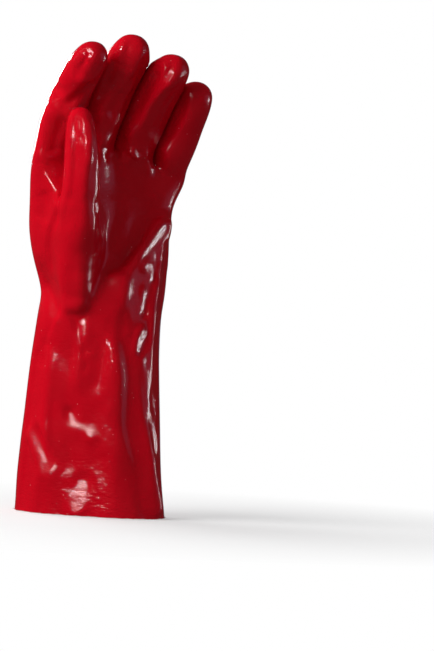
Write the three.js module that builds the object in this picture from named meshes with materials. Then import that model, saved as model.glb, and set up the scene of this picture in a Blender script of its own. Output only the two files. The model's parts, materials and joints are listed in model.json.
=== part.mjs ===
// The left glove of a pair of PVC work gauntlets: a knitted liner dipped whole, so it is one piece.
// It stands on the cut edge of its cuff as it would by itself, with the palm turned to -Y and the
// fingers curling to that side. Millimetres, +Z up, +X towards the little finger. The origin is the
// middle of the underside of the glove's bounding box.
//
// A coarse cage of quads is woven from short tables of sections, subdivided once, creased by a table
// of folds, and given its inner face one wall thickness inside.
import * as THREE from 'three';

// Driving dimensions.
const WALL = 1.4; // liner and coat together
const CUFF_LENGTH = 154; // cut edge to the wrist
const PALM_LENGTH = 90; // wrist to the finger crotches
const CUFF_WIDTH = 110;
const CUFF_DEPTH = 70;
const WRIST_WIDTH = 88;
const WRIST_DEPTH = 60;
const KNUCKLE_WIDTH = 121;
const KNUCKLE_DEPTH = 31;
const CUFF_TURN = -14; // degrees, about the vertical: the little finger's end of the cuff comes forward
const PALM_TURN = 26; // degrees: the thumb side of the palm comes forward
const TRUNK_LENGTH = CUFF_LENGTH + PALM_LENGTH;

// Fingers from the index to the little one. Lengths and widths in mm, angles in degrees: curl is
// towards the palm and lean towards the little finger, at the root and at the tip.
const FINGERS = [
  { length: 101, width: 27.5, thick: 27, curlRoot: 12, curlTip: 56, leanRoot: 2, leanTip: 13 },
  { length: 97, width: 30.5, thick: 28, curlRoot: 14, curlTip: 45, leanRoot: 5, leanTip: 16 },
  { length: 92, width: 30.5, thick: 28, curlRoot: 18, curlTip: 54, leanRoot: 7.5, leanTip: 13 },
  { length: 78, width: 27.3, thick: 27, curlRoot: 20, curlTip: 40, leanRoot: 10.5, leanTip: 1 },
];

// How far the crotches stand above the end of the palm, from the thumb side to the little finger's,
// as shares of PALM_LENGTH.
const CROTCH_RISE = [-0.045, 0.1, 0.122, 0.022, -0.09];
const WEB_RISE = 2; // how far the skin between two fingers stands above their crotch line

const THUMB = { length: 77, width: 20, thick: 28, reach: 19 };

// Sections of the cuff, from its edge to the wrist. rise is a share of CUFF_LENGTH and taper goes
// from 0, the cuff's own size, to 1, the wrist's. aside and back move the middle, as shares of
// WRIST_WIDTH and WRIST_DEPTH. thenar is how far the ball of the thumb stands out of the palm's
// side, as a share of THENAR_HEIGHT.
const THENAR_HEIGHT = 17;
const CUFF_SECTIONS = [
  { rise: 0, taper: 0, aside: 0, back: 0, thenar: 0 },
  { rise: 0.06, taper: 0.1, aside: -0.005, back: 0, thenar: 0 },
  { rise: 0.17, taper: 0.24, aside: -0.02, back: 0, thenar: 0 },
  { rise: 0.3, taper: 0.41, aside: -0.02, back: 0, thenar: 0 },
  { rise: 0.44, taper: 0.57, aside: -0.02, back: 0, thenar: 0 },
  { rise: 0.58, taper: 0.7, aside: -0.02, back: 0, thenar: 0 },
  { rise: 0.71, taper: 0.84, aside: -0.02, back: 0, thenar: 0 },
  { rise: 0.84, taper: 0.96, aside: -0.01, back: 0.01, thenar: 0.05 },
  { rise: 0.93, taper: 1, aside: 0, back: 0.02, thenar: 0.2 },
];

// Sections of the hand, from the wrist to the crotches. rise is a share of PALM_LENGTH; spread goes
// from 0, the wrist's width, to 1, the knuckles', and thin does the same for the depth. The other
// columns are as in the cuff's table.
const HAND_SECTIONS = [
  { rise: 0, spread: 0, thin: 0, aside: 0.02, back: 0.03, thenar: 0.45 },
  { rise: 0.15, spread: 0.17, thin: 0.1, aside: 0, back: 0.05, thenar: 0.75 },
  { rise: 0.32, spread: 0.38, thin: 0.25, aside: -0.02, back: 0.07, thenar: 1 },
  { rise: 0.5, spread: 0.52, thin: 0.44, aside: -0.04, back: 0.07, thenar: 1 },
  { rise: 0.66, spread: 0.61, thin: 0.62, aside: -0.04, back: 0.06, thenar: 0.7 },
  { rise: 0.82, spread: 0.73, thin: 0.8, aside: -0.025, back: 0.04, thenar: 0.25 },
  { rise: 1, spread: 0.99, thin: 1, aside: 0.01, back: 0.02, thenar: 0 },
];

// Size of a finger along its length, from root to tip, as shares of its own sizes.
const FINGER_PROFILE = [
  { along: 0.1, width: 0.9, thick: 0.98 },
  { along: 0.24, width: 0.97, thick: 1 },
  { along: 0.38, width: 1, thick: 1 },
  { along: 0.51, width: 0.96, thick: 0.95 },
  { along: 0.65, width: 0.97, thick: 0.95 },
  { along: 0.79, width: 0.94, thick: 0.88 },
  { along: 0.92, width: 0.75, thick: 0.7 },
];

// The thumb leaves the palm through a patch two columns wide and three rows high, turns up in front
// of the index finger and tapers to its tip. aside, front and up place a section, as shares of the
// thumb's width, reach and length; aim is its angle over the floor in degrees.
const THUMB_COLUMN = 2;
const THUMB_ROW = 11; // the section where its root begins, counted from the cuff's edge
const THUMB_LINE = [
  { aside: 0.03, front: 0.3, up: 0.02, aim: 25, width: 1.18, thick: 1.24 },
  { aside: 0.05, front: 0.53, up: 0.13, aim: 40, width: 1.24, thick: 1.18 },
  { aside: 0.05, front: 0.74, up: 0.24, aim: 54, width: 1.24, thick: 1.11 },
  { aside: 0, front: 0.9, up: 0.38, aim: 66, width: 1.18, thick: 1.05 },
  { aside: -0.06, front: 1, up: 0.52, aim: 76, width: 1.1, thick: 0.98 },
  { aside: -0.12, front: 1.07, up: 0.66, aim: 82, width: 1.03, thick: 0.9 },
  { aside: -0.16, front: 1.09, up: 0.8, aim: 87, width: 0.95, thick: 0.83 },
  { aside: -0.18, front: 1.09, up: 0.905, aim: 89, width: 0.79, thick: 0.71 },
  { aside: -0.18, front: 1.08, up: 0.97, aim: 90, width: 0.5, thick: 0.46 },
];

// Folds, dents and ridges of the soft wall: each is a line on the palm's or the back's face, given
// by its two ends. aside is a share of half of CUFF_WIDTH from the middle of the cut edge and rise a
// share of the way from the cut edge to the crotches. broad is the half width as a share of
// FOLD_BREADTH, and out the height as a share of FOLD_HEIGHT, inward when it is negative.
const FOLD_BREADTH = 10;
const FOLD_HEIGHT = 3;
const FOLDS = [
  { face: 'palm', fromAside: 0.07, fromRise: 0.548, toAside: 0.30, toRise: 0.401, broad: 1.3, out: 0.87 },
  { face: 'palm', fromAside: 0.30, fromRise: 0.401, toAside: 0.36, toRise: 0.197, broad: 1.3, out: 0.87 },
  { face: 'palm', fromAside: 0.36, fromRise: 0.197, toAside: 0.51, toRise: 0.014, broad: 1.3, out: 0.73 },
  { face: 'palm', fromAside: 0.45, fromRise: 0.573, toAside: 0.55, toRise: 0.227, broad: 0.9, out: -0.87 },
  { face: 'palm', fromAside: 0.64, fromRise: 0.569, toAside: 0.68, toRise: 0.422, broad: 0.7, out: 0.53 },
  { face: 'palm', fromAside: 0.68, fromRise: 0.422, toAside: 0.81, toRise: 0.231, broad: 0.7, out: 0.53 },
  { face: 'palm', fromAside: -0.13, fromRise: 0.489, toAside: -0.26, toRise: 0.280, broad: 1, out: 0.6 },
  { face: 'palm', fromAside: -0.45, fromRise: 0.485, toAside: -0.51, toRise: 0.300, broad: 0.9, out: -0.53 },
  { face: 'palm', fromAside: 0.00, fromRise: 0.249, toAside: -0.19, toRise: 0.202, broad: 0.9, out: -0.6 },
  { face: 'palm', fromAside: -0.81, fromRise: 0.217, toAside: -0.53, toRise: 0.118, broad: 0.8, out: 0.73 },
  { face: 'palm', fromAside: -0.53, fromRise: 0.257, toAside: -0.29, toRise: 0.081, broad: 0.9, out: -0.67 },
  { face: 'palm', fromAside: -0.19, fromRise: 0.105, toAside: -0.10, toRise: 0.027, broad: 0.9, out: 0.47 },
  { face: 'palm', fromAside: -0.74, fromRise: 0.678, toAside: -0.39, toRise: 0.551, broad: 0.8, out: -1.2 },
  { face: 'palm', fromAside: 0.05, fromRise: 0.721, toAside: -0.14, toRise: 0.549, broad: 0.8, out: -1.67 },
  { face: 'palm', fromAside: -0.20, fromRise: 0.809, toAside: -0.24, toRise: 0.616, broad: 1.2, out: 1.5 },
  { face: 'palm', fromAside: 0.81, fromRise: 0.844, toAside: 0.49, toRise: 0.764, broad: 0.8, out: 1.2 },
  { face: 'palm', fromAside: 0.49, fromRise: 0.764, toAside: 0.24, toRise: 0.633, broad: 0.8, out: 1.13 },
  { face: 'palm', fromAside: 0.74, fromRise: 0.764, toAside: 0.65, toRise: 0.626, broad: 0.8, out: -0.93 },
  { face: 'palm', fromAside: 0.58, fromRise: 0.716, toAside: 0.68, toRise: 0.689, broad: 0.6, out: 0.6 },
  { face: 'palm', fromAside: 0.55, fromRise: 0.651, toAside: 0.59, toRise: 0.592, broad: 0.6, out: 0.53 },
  { face: 'palm', fromAside: 0.53, fromRise: 0.540, toAside: 0.56, toRise: 0.495, broad: 0.7, out: 0.6 },
  { face: 'palm', fromAside: 0.26, fromRise: 0.977, toAside: 0.16, toRise: 0.728, broad: 1.4, out: -1.5 },
  { face: 'palm', fromAside: -0.69, fromRise: 0.951, toAside: -0.58, toRise: 0.881, broad: 0.6, out: 0.8 },
  { face: 'palm', fromAside: -0.58, fromRise: 0.881, toAside: -0.66, toRise: 0.821, broad: 0.6, out: 0.6 },
  { face: 'palm', fromAside: -0.70, fromRise: 1.178, toAside: -0.44, toRise: 1.204, broad: 0.6, out: -0.87 },
  { face: 'palm', fromAside: -0.88, fromRise: 1.125, toAside: -0.87, toRise: 1.028, broad: 0.8, out: 0.67 },
  { face: 'palm', fromAside: -0.04, fromRise: 1.089, toAside: -0.05, toRise: 1.015, broad: 0.6, out: 0.67 },
  { face: 'palm', fromAside: 0.35, fromRise: 1.049, toAside: 0.23, toRise: 1.010, broad: 0.6, out: 0.73 },
  { face: 'palm', fromAside: 0.76, fromRise: 1.062, toAside: 0.79, toRise: 1.025, broad: 0.6, out: 0.73 },
  { face: 'palm', fromAside: 0.53, fromRise: 1.028, toAside: 0.63, toRise: 0.987, broad: 0.6, out: -0.67 },
  { face: 'palm', fromAside: 0.12, fromRise: 1.040, toAside: 0.16, toRise: 0.984, broad: 0.7, out: -0.67 },
  { face: 'back', fromAside: -0.15, fromRise: 0.373, toAside: -0.24, toRise: 0.234, broad: 0.9, out: -0.8 },
  { face: 'back', fromAside: 0.12, fromRise: 0.451, toAside: 0.1, toRise: 0.320, broad: 0.8, out: 0.73 },
  { face: 'back', fromAside: -0.4, fromRise: 0.061, toAside: 0.05, toRise: 0.148, broad: 0.9, out: 0.6 },
  { face: 'back', fromAside: 0.35, fromRise: 0.643, toAside: 0.56, toRise: 0.463, broad: 0.9, out: -1.07 },
  { face: 'back', fromAside: 0.62, fromRise: 0.656, toAside: 0.74, toRise: 0.475, broad: 0.8, out: 0.6 },
  { face: 'back', fromAside: -0.55, fromRise: 0.607, toAside: 0.1, toRise: 0.648, broad: 0.9, out: -0.67 },
  { face: 'back', fromAside: -0.6, fromRise: 0.410, toAside: -0.55, toRise: 0.246, broad: 0.9, out: -0.6 },
  { face: 'back', fromAside: 0.4, fromRise: 0.287, toAside: 0.5, toRise: 0.082, broad: 1, out: 0.6 },
];

const degrees = THREE.MathUtils.degToRad;
const mix = THREE.MathUtils.lerp;
const UP = new THREE.Vector3(0, 0, 1);

// A direction in the plane of the floor: across is from the thumb side to the little finger's, and
// front is out of the palm.
const across = (turn) => new THREE.Vector3(Math.cos(degrees(turn)), Math.sin(degrees(turn)), 0);
const front = (turn) => new THREE.Vector3(Math.sin(degrees(turn)), -Math.cos(degrees(turn)), 0);

const sum = (origin, ...terms) =>
  terms.reduce((point, [direction, amount]) => point.addScaledVector(direction, amount), origin.clone());

const cage = { points: [], quads: [] };
const addPoint = (point) => cage.points.push(point) - 1;
const wrap = (list, i) => list[(i + list.length) % list.length];

function joinRings(lower, upper) {
  lower.forEach((a, i) => cage.quads.push([a, wrap(lower, i + 1), wrap(upper, i + 1), upper[i]]));
}

// Half of the way round a section: nine places from the thumb side to the little finger's. On the
// cuff they are evenly turned; at the finger roots they are evenly spaced across a flatter form,
// with a groove at each place between two fingers.
const COLUMNS = 9;
const ROOT_GROOVE = 0.22;
function station(i, square) {
  const angle = (Math.PI * (i + 1)) / (COLUMNS + 1);
  const even = THREE.MathUtils.clamp((2 * i) / (COLUMNS - 1) - 1, -0.93, 0.93);
  const between = i % 2 === 0 && i > 0 && i < COLUMNS - 1;
  const flat = (1 - Math.abs(even) ** 3) ** (1 / 3) * (between ? 1 - ROOT_GROOVE : 1);
  return { place: mix(-Math.cos(angle), even, square), depth: mix(Math.sin(angle), flat, square) };
}

// The ring of twenty points round the glove at one section. It starts on the thumb side and passes
// the palm, the little finger's side and the back of the hand.
function trunkRing({ middle, turn, width, depth, square, thenar, lift }) {
  const u = across(turn);
  const n = front(turn);
  const at = (place, out, i) =>
    addPoint(sum(middle, [u, (place * width) / 2], [n, (out * depth) / 2], [UP, lift(i)]));
  const palm = [];
  const back = [];
  for (let i = 0; i < COLUMNS; i++) {
    const { place, depth: out } = station(i, square);
    const swell = thenar * Math.exp(-(((i - 2.2) / 1.5) ** 2));
    palm.push(at(place, out + (2 * swell) / depth, i));
    back.push(at(place, -out, i));
  }
  return [at(-1, 0, -1), ...palm, at(1, 0, COLUMNS), ...back.reverse()];
}

function sections() {
  const wristTurn = (CUFF_TURN + PALM_TURN) / 2;
  const cuff = CUFF_SECTIONS.map(({ rise, taper, aside, back, thenar }) => ({
    middle: new THREE.Vector3(aside * WRIST_WIDTH, back * WRIST_DEPTH, rise * CUFF_LENGTH),
    width: mix(CUFF_WIDTH, WRIST_WIDTH, taper),
    depth: mix(CUFF_DEPTH, WRIST_DEPTH, taper),
    turn: mix(CUFF_TURN, wristTurn, taper),
    square: 0,
    thenar: thenar * THENAR_HEIGHT,
    lift: () => 0,
  }));
  const hand = HAND_SECTIONS.map(({ rise, spread, thin, aside, back, thenar }) => ({
    middle: new THREE.Vector3(aside * WRIST_WIDTH, back * WRIST_DEPTH, CUFF_LENGTH + rise * PALM_LENGTH),
    width: mix(WRIST_WIDTH, KNUCKLE_WIDTH, spread),
    depth: mix(WRIST_DEPTH, KNUCKLE_DEPTH, thin),
    turn: mix(wristTurn, PALM_TURN, Math.min(1, rise * 1.5)),
    square: rise ** 2,
    thenar: thenar * THENAR_HEIGHT,
    lift: (column) => rise ** 3 * crotchLift(column),
  }));
  return [...cuff, ...hand];
}

// Height of the crotch line over the end of the palm at a column. Even columns lie between fingers.
function crotchLift(column) {
  const i = THREE.MathUtils.clamp(column, 0, COLUMNS - 1) / 2;
  return PALM_LENGTH * mix(CROTCH_RISE[Math.floor(i)], CROTCH_RISE[Math.ceil(i)], i % 1);
}

function weaveTrunk() {
  const rings = sections().map(trunkRing);
  for (let r = 1; r < rings.length; r++) joinRings(rings[r - 1], rings[r]);
  return rings;
}

// Points round a finger as shares of its half width and half thickness. They start on the thumb
// side and pass the palm's face, the little finger's side and the back.
const FINGER_RING = [
  [-1, 0],
  [-0.74, 0.72],
  [0, 1],
  [0.74, 0.72],
  [1, 0],
  [0.74, -0.72],
  [0, -1],
  [-0.74, -0.72],
];
const THUMB_RING = [
  [-1, 0.3],
  [-0.7, 0.82],
  [0, 1],
  [0.7, 0.82],
  [1, 0.3],
  [1, -0.3],
  [0.7, -0.82],
  [0, -1],
  [-0.7, -0.82],
  [-1, -0.3],
];
const CAGE_SWELL = 1.09; // subdividing a ring of eight points shrinks it by about a tenth

function fingerRing(shape, middle, along, side, width, thick) {
  const tangent = along.clone().normalize();
  const lateral = side.clone().addScaledVector(tangent, -side.dot(tangent)).normalize();
  const face = new THREE.Vector3().crossVectors(lateral, tangent);
  const [halfWidth, halfThick] = [(width * CAGE_SWELL) / 2, (thick * CAGE_SWELL) / 2];
  return shape.map(([u, n]) => addPoint(sum(middle, [lateral, u * halfWidth], [face, n * halfThick])));
}

// Closes the end of a finger with quads round a middle point.
function capRing(ring, tip) {
  const centre = addPoint(tip);
  for (let i = 0; i < ring.length; i += 2) {
    cage.quads.push([centre, ring[i], ring[i + 1], wrap(ring, i + 2)]);
  }
}

function meanOf(indices) {
  const total = new THREE.Vector3();
  indices.forEach((i) => total.add(cage.points[i]));
  return total.divideScalar(indices.length);
}

function weaveFinger(finger, root) {
  const u = across(PALM_TURN);
  const n = front(PALM_TURN);
  const heading = (share) => {
    const curl = degrees(mix(finger.curlRoot, finger.curlTip, share));
    const lean = degrees(mix(finger.leanRoot, finger.leanTip, share));
    const upright = sum(new THREE.Vector3(), [UP, Math.cos(lean)], [u, Math.sin(lean)]);
    return sum(new THREE.Vector3(), [upright, Math.cos(curl)], [n, Math.sin(curl)]);
  };
  const steps = 100;
  const line = [meanOf(root)];
  for (let i = 1; i <= steps; i++) {
    line.push(sum(line[i - 1], [heading((i - 0.5) / steps), finger.length / steps]));
  }
  let ring = root;
  for (const part of FINGER_PROFILE) {
    const next = fingerRing(
      FINGER_RING,
      line[Math.round(part.along * steps)],
      heading(part.along),
      u,
      finger.width * part.width,
      finger.thick * part.thick,
    );
    joinRings(ring, next);
    ring = next;
  }
  capRing(ring, line[steps]);
}

function weaveFingers(top) {
  const thumbSide = top[0];
  const palm = top.slice(1, COLUMNS + 1);
  const littleSide = top[COLUMNS + 1];
  const back = top.slice(COLUMNS + 2).reverse();
  const edges = [thumbSide];
  for (let j = 1; j < FINGERS.length; j++) {
    const web = meanOf([palm[2 * j], back[2 * j]]);
    edges.push(addPoint(sum(web, [UP, WEB_RISE])));
  }
  edges.push(littleSide);
  FINGERS.forEach((finger, j) => {
    weaveFinger(finger, [
      edges[j],
      ...palm.slice(2 * j, 2 * j + 3),
      edges[j + 1],
      ...back.slice(2 * j, 2 * j + 3).reverse(),
    ]);
  });
}

function weaveThumb(rings) {
  const [low, below, above, high] = [0, 1, 2, 3].map((r) => rings[THUMB_ROW + r]);
  const [left, centre, right] = [0, 1, 2].map((i) => THUMB_COLUMN + i);
  const patch = new Set([low, below, above, high].flatMap((ring) => ring.slice(left, right + 1)));
  cage.quads = cage.quads.filter((quad) => !quad.every((i) => patch.has(i)));
  const root = [
    below[left],
    low[left],
    low[centre],
    low[right],
    below[right],
    above[right],
    high[right],
    high[centre],
    high[left],
    above[left],
  ];
  const start = meanOf(root);
  const u = across(PALM_TURN / 2);
  const n = front(PALM_TURN / 2);
  const place = (row) =>
    sum(start, [u, row.aside * THUMB.width], [n, row.front * THUMB.reach], [UP, row.up * THUMB.length]);
  let ring = root;
  for (const row of THUMB_LINE) {
    const aim = degrees(row.aim);
    const heading = sum(new THREE.Vector3(), [n, Math.cos(aim)], [UP, Math.sin(aim)]);
    const [width, thick] = [THUMB.width * row.width, THUMB.thick * row.thick];
    const next = fingerRing(THUMB_RING, place(row), heading, u, width, thick);
    joinRings(ring, next);
    ring = next;
  }
  capRing(ring, place({ ...THUMB_LINE.at(-1), up: 1 }));
}

// Leaves out the points that no quad uses, such as the one under the thumb's root.
function usedOnly({ points, quads }) {
  const kept = [...new Set(quads.flat())].sort((a, b) => a - b);
  const place = new Map(kept.map((old, i) => [old, i]));
  return { points: kept.map((i) => points[i]), quads: quads.map((quad) => quad.map((i) => place.get(i))) };
}

// One step of Catmull-Clark subdivision. The cuff's edge is the mesh's only border.
function subdivide({ points, quads }) {
  const mean = (...list) =>
    list.reduce((total, p) => total.add(p), new THREE.Vector3()).divideScalar(list.length);
  const out = points.map(() => new THREE.Vector3());
  const edges = new Map();
  const edgeOf = (a, b) => {
    const key = a < b ? `${a},${b}` : `${b},${a}`;
    if (!edges.has(key)) edges.set(key, { a, b, faces: [] });
    return edges.get(key);
  };
  const faces = quads.map((quad) => {
    const middle = mean(...quad.map((i) => points[i]));
    quad.forEach((a, i) => edgeOf(a, wrap(quad, i + 1)).faces.push(middle));
    return middle;
  });
  const around = points.map(() => ({ faces: [], middles: [], border: [] }));
  quads.forEach((quad, f) => quad.forEach((i) => around[i].faces.push(faces[f])));
  for (const edge of edges.values()) {
    const middle = mean(points[edge.a], points[edge.b]);
    for (const end of [edge.a, edge.b]) {
      around[end].middles.push(middle);
      if (edge.faces.length === 1) around[end].border.push(middle);
    }
    edge.index = out.length;
    out.push(edge.faces.length === 1 ? middle : mean(points[edge.a], points[edge.b], ...edge.faces));
  }
  points.forEach((point, i) => {
    const { faces: near, middles, border } = around[i];
    if (border.length) {
      out[i].copy(point).add(mean(...border)).divideScalar(2);
      return;
    }
    const n = near.length;
    out[i].addScaledVector(mean(...near), 1 / n);
    out[i].addScaledVector(mean(...middles), 2 / n);
    out[i].addScaledVector(point, (n - 3) / n);
  });
  const next = [];
  quads.forEach((quad, f) => {
    const centre = out.push(faces[f]) - 1;
    quad.forEach((corner, i) => {
      const after = edgeOf(corner, wrap(quad, i + 1)).index;
      const before = edgeOf(wrap(quad, i - 1), corner).index;
      next.push([corner, after, centre, before]);
    });
  });
  return { points: out, quads: next };
}

// Directions out of the skin at its points. They are level along the cut edge, which stays flat.
function normalsOf({ points, quads }) {
  const normals = points.map(() => new THREE.Vector3());
  const first = new THREE.Vector3();
  const second = new THREE.Vector3();
  for (const [a, b, c, d] of quads) {
    first.subVectors(points[c], points[a]);
    second.subVectors(points[d], points[b]);
    const normal = first.cross(second);
    for (const i of [a, b, c, d]) normals[i].add(normal);
  }
  points.forEach((point, i) => {
    if (point.z === 0) normals[i].setZ(0);
  });
  return normals.map((normal) => normal.normalize());
}

// Moves the skin in and out along the lines of the folds.
function crease(skin) {
  const normals = normalsOf(skin);
  const points = skin.points.map((point, i) => {
    const here = new THREE.Vector2(point.x, point.z);
    let move = 0;
    for (const fold of FOLDS) {
      const facing = fold.face === 'palm' ? -normals[i].y : normals[i].y;
      if (facing <= 0) continue;
      const from = new THREE.Vector2((fold.fromAside * CUFF_WIDTH) / 2, fold.fromRise * TRUNK_LENGTH);
      const to = new THREE.Vector2((fold.toAside * CUFF_WIDTH) / 2, fold.toRise * TRUNK_LENGTH);
      const along = to.clone().sub(from);
      const share = THREE.MathUtils.clamp(here.clone().sub(from).dot(along) / along.lengthSq(), 0, 1);
      const away = here.distanceTo(from.addScaledVector(along, share));
      const height = fold.out * FOLD_HEIGHT * Math.min(1, 2 * facing);
      move += height * Math.exp(-((away / (fold.broad * FOLD_BREADTH)) ** 2));
    }
    return sum(point, [normals[i], move]);
  });
  return { ...skin, points };
}

// The outer face, the inner face one wall inside it, and the flat cut edge between them.
function thicken(skin, wall) {
  const { points, quads } = skin;
  const count = points.length;
  const onEdge = new Map();
  const seen = new Set();
  for (const quad of quads) quad.forEach((a, i) => seen.add(`${a},${wrap(quad, i + 1)}`));
  for (const key of seen) {
    const [a, b] = key.split(',').map(Number);
    if (!seen.has(`${b},${a}`)) onEdge.set(a, b);
  }
  const normals = normalsOf(skin);
  const inner = points.map((point, i) => sum(point, [normals[i], -wall]));
  const all = [...points, ...inner];
  const triangles = [];
  const addQuad = (a, b, c, d) => {
    if (all[a].distanceTo(all[c]) < all[b].distanceTo(all[d])) triangles.push(a, b, c, a, c, d);
    else triangles.push(a, b, d, b, c, d);
  };
  for (const [a, b, c, d] of quads) {
    addQuad(a, b, c, d);
    addQuad(d + count, c + count, b + count, a + count);
  }
  for (const [a, b] of onEdge) addQuad(b, a, a + count, b + count);
  const geometry = new THREE.BufferGeometry().setFromPoints(all);
  geometry.setIndex(triangles);
  return geometry;
}

function makeGlove() {
  const rings = weaveTrunk();
  weaveThumb(rings);
  weaveFingers(rings.at(-1));
  const geometry = thicken(crease(subdivide(usedOnly(cage))), WALL);
  geometry.computeBoundingBox();
  const { min, max } = geometry.boundingBox;
  geometry.translate(-(min.x + max.x) / 2, -(min.y + max.y) / 2, -min.z);
  geometry.computeVertexNormals();
  const coat = new THREE.MeshStandardMaterial({ color: 0xb8040f, roughness: 0.18, metalness: 0 });
  const glove = new THREE.Mesh(geometry, coat);
  glove.name = 'glove';
  return glove;
}

const part = new THREE.Group();
part.add(makeGlove());

export default part;
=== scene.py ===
# %% [markdown]
# # A PVC coated work glove
#
# The glove is one skin. A knitted liner is pulled over a hand-shaped former and dipped whole in red
# PVC, so there is no seam and no separate palm: the fingers, the thumb, the hand and the long cuff
# are one wall about a millimetre and a half thick, cut off straight at the cuff. What makes it look
# real is the wet gloss of the coat, the soft folds at the wrist and the knit that shows faintly
# through the coat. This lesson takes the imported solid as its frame, makes a finer skin from it,
# works flats and folds into that skin, gives it its wall and then its finishes.

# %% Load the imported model
import json
import math
import random

import bpy
import numpy as np
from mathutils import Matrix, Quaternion, Vector
from mathutils.noise import noise as noise_at

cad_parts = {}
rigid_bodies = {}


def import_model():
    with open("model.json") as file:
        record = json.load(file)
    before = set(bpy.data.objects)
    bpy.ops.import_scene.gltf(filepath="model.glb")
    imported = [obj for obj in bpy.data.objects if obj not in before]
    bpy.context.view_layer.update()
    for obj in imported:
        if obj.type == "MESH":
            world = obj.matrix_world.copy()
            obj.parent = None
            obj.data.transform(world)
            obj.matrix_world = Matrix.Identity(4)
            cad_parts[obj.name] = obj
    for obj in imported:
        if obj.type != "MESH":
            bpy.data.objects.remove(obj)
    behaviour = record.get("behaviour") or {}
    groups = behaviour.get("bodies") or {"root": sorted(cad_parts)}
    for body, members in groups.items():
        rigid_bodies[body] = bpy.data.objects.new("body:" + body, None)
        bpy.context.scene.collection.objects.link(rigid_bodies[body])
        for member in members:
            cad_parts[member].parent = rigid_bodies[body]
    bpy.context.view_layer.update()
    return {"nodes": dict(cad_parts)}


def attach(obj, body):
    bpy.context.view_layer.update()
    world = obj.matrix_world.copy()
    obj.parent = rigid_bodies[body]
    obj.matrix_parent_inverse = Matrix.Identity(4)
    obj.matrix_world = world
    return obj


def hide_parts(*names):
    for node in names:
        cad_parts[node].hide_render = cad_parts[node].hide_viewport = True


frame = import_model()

MM = 0.001


# %% [markdown]
# ## The camera
# The photograph is taken from far away with a long lens, level with the palm, so there is hardly
# any perspective. The picture leans a little, which is the camera being turned about its own axis
# and not the glove falling over: its cuff stands flat.

# %% Set up the camera
AIM = Vector((73.7, 0.0, 137.35)) * MM
DISTANCE = 2.6
ELEVATION = math.radians(0.5)
ROLL = math.radians(3.0)
LENS = 205.4
SENSOR_WIDTH = 36

to_camera = Vector((0, -math.cos(ELEVATION), math.sin(ELEVATION)))
camera_data = bpy.data.cameras.new("camera")
camera_data.lens = LENS
camera_data.sensor_width = SENSOR_WIDTH
camera = bpy.data.objects.new("camera", camera_data)
bpy.context.scene.collection.objects.link(camera)
camera.location = AIM + to_camera * DISTANCE
camera.rotation_mode = "QUATERNION"
upright = (-to_camera).to_track_quat("-Z", "Y")
camera.rotation_quaternion = upright @ Quaternion((0, 0, 1), ROLL)
bpy.context.scene.camera = camera
print("camera at", [round(v, 3) for v in camera.location])


# %% [markdown]
# ## Helpers for working by hand
# Blender's operators act on whatever is selected, so every step starts by selecting one object and
# nothing else. Faces are then chosen in code by where they are, and a modifier is applied as soon
# as it is set, so that the next step works on the real mesh.

# %% Helpers for selecting
def take(piece):
    """Selects one object alone and makes it active."""
    if bpy.context.object and bpy.context.object.mode != "OBJECT":
        bpy.ops.object.mode_set(mode="OBJECT")
    bpy.ops.object.select_all(action="DESELECT")
    piece.select_set(True)
    bpy.context.view_layer.objects.active = piece


def pick_faces(piece, wanted):
    """Leaves the piece in edit mode with the faces that the test wants selected."""
    take(piece)
    mesh = piece.data
    mesh.vertices.foreach_set("select", [False] * len(mesh.vertices))
    mesh.edges.foreach_set("select", [False] * len(mesh.edges))
    mesh.polygons.foreach_set("select", [bool(wanted(face)) for face in mesh.polygons])
    bpy.ops.object.mode_set(mode="EDIT")
    bpy.context.tool_settings.mesh_select_mode = (False, False, True)


def leave_edit():
    bpy.ops.object.mode_set(mode="OBJECT")


def use_modifier(piece, kind, **settings):
    """Adds a modifier, sets it and applies it."""
    take(piece)
    modifier = piece.modifiers.new(kind.lower(), kind)
    for name, value in settings.items():
        setattr(modifier, name, value)
    bpy.ops.object.modifier_apply(modifier=modifier.name)


# %% [markdown]
# ## The skin
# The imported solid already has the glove's true form, with an outer face, an inner face and a flat
# cut edge between them. Only the outer face is wanted here: it is copied, its triangles are joined
# back into quads so that they follow the fingers, and it is subdivided until a fold can be a few
# millimetres wide. A hand could be sculpted from a block instead, but then it would no longer be
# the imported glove.

# %% Copy the outer face
SAME_PLACE = 0.01 * MM
CUT_EDGE = 0.02 * MM  # what lies lower than this is the cut edge
LOOKS_DOWN = -0.9
ANY_ANGLE = math.pi

glove = bpy.data.objects.new("glove_coat", frame["nodes"]["glove"].data.copy())
bpy.context.scene.collection.objects.link(glove)
glove.data.materials.clear()

take(glove)
bpy.ops.object.mode_set(mode="EDIT")
bpy.ops.mesh.select_all(action="SELECT")
bpy.ops.mesh.remove_doubles(threshold=SAME_PLACE)
leave_edit()

pick_faces(glove, lambda face: face.normal.z < LOOKS_DOWN and face.center.z < CUT_EDGE)
bpy.ops.mesh.delete(type="FACE")
leave_edit()

top = max(glove.data.polygons, key=lambda face: face.center.z).index
pick_faces(glove, lambda face: face.index == top)
bpy.ops.mesh.select_linked()
bpy.ops.mesh.select_all(action="INVERT")
bpy.ops.mesh.delete(type="VERT")
leave_edit()

pick_faces(glove, lambda face: True)
bpy.ops.mesh.tris_convert_to_quads(face_threshold=ANY_ANGLE, shape_threshold=ANY_ANGLE)
leave_edit()
print("outer face:", len(glove.data.polygons), "faces,",
      sum(len(face.vertices) == 3 for face in glove.data.polygons), "of them triangles")

# %% Subdivide it
FINER = 2
use_modifier(glove, "SUBSURF", levels=FINER, render_levels=FINER)
print("fine skin:", len(glove.data.polygons), "faces")


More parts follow.
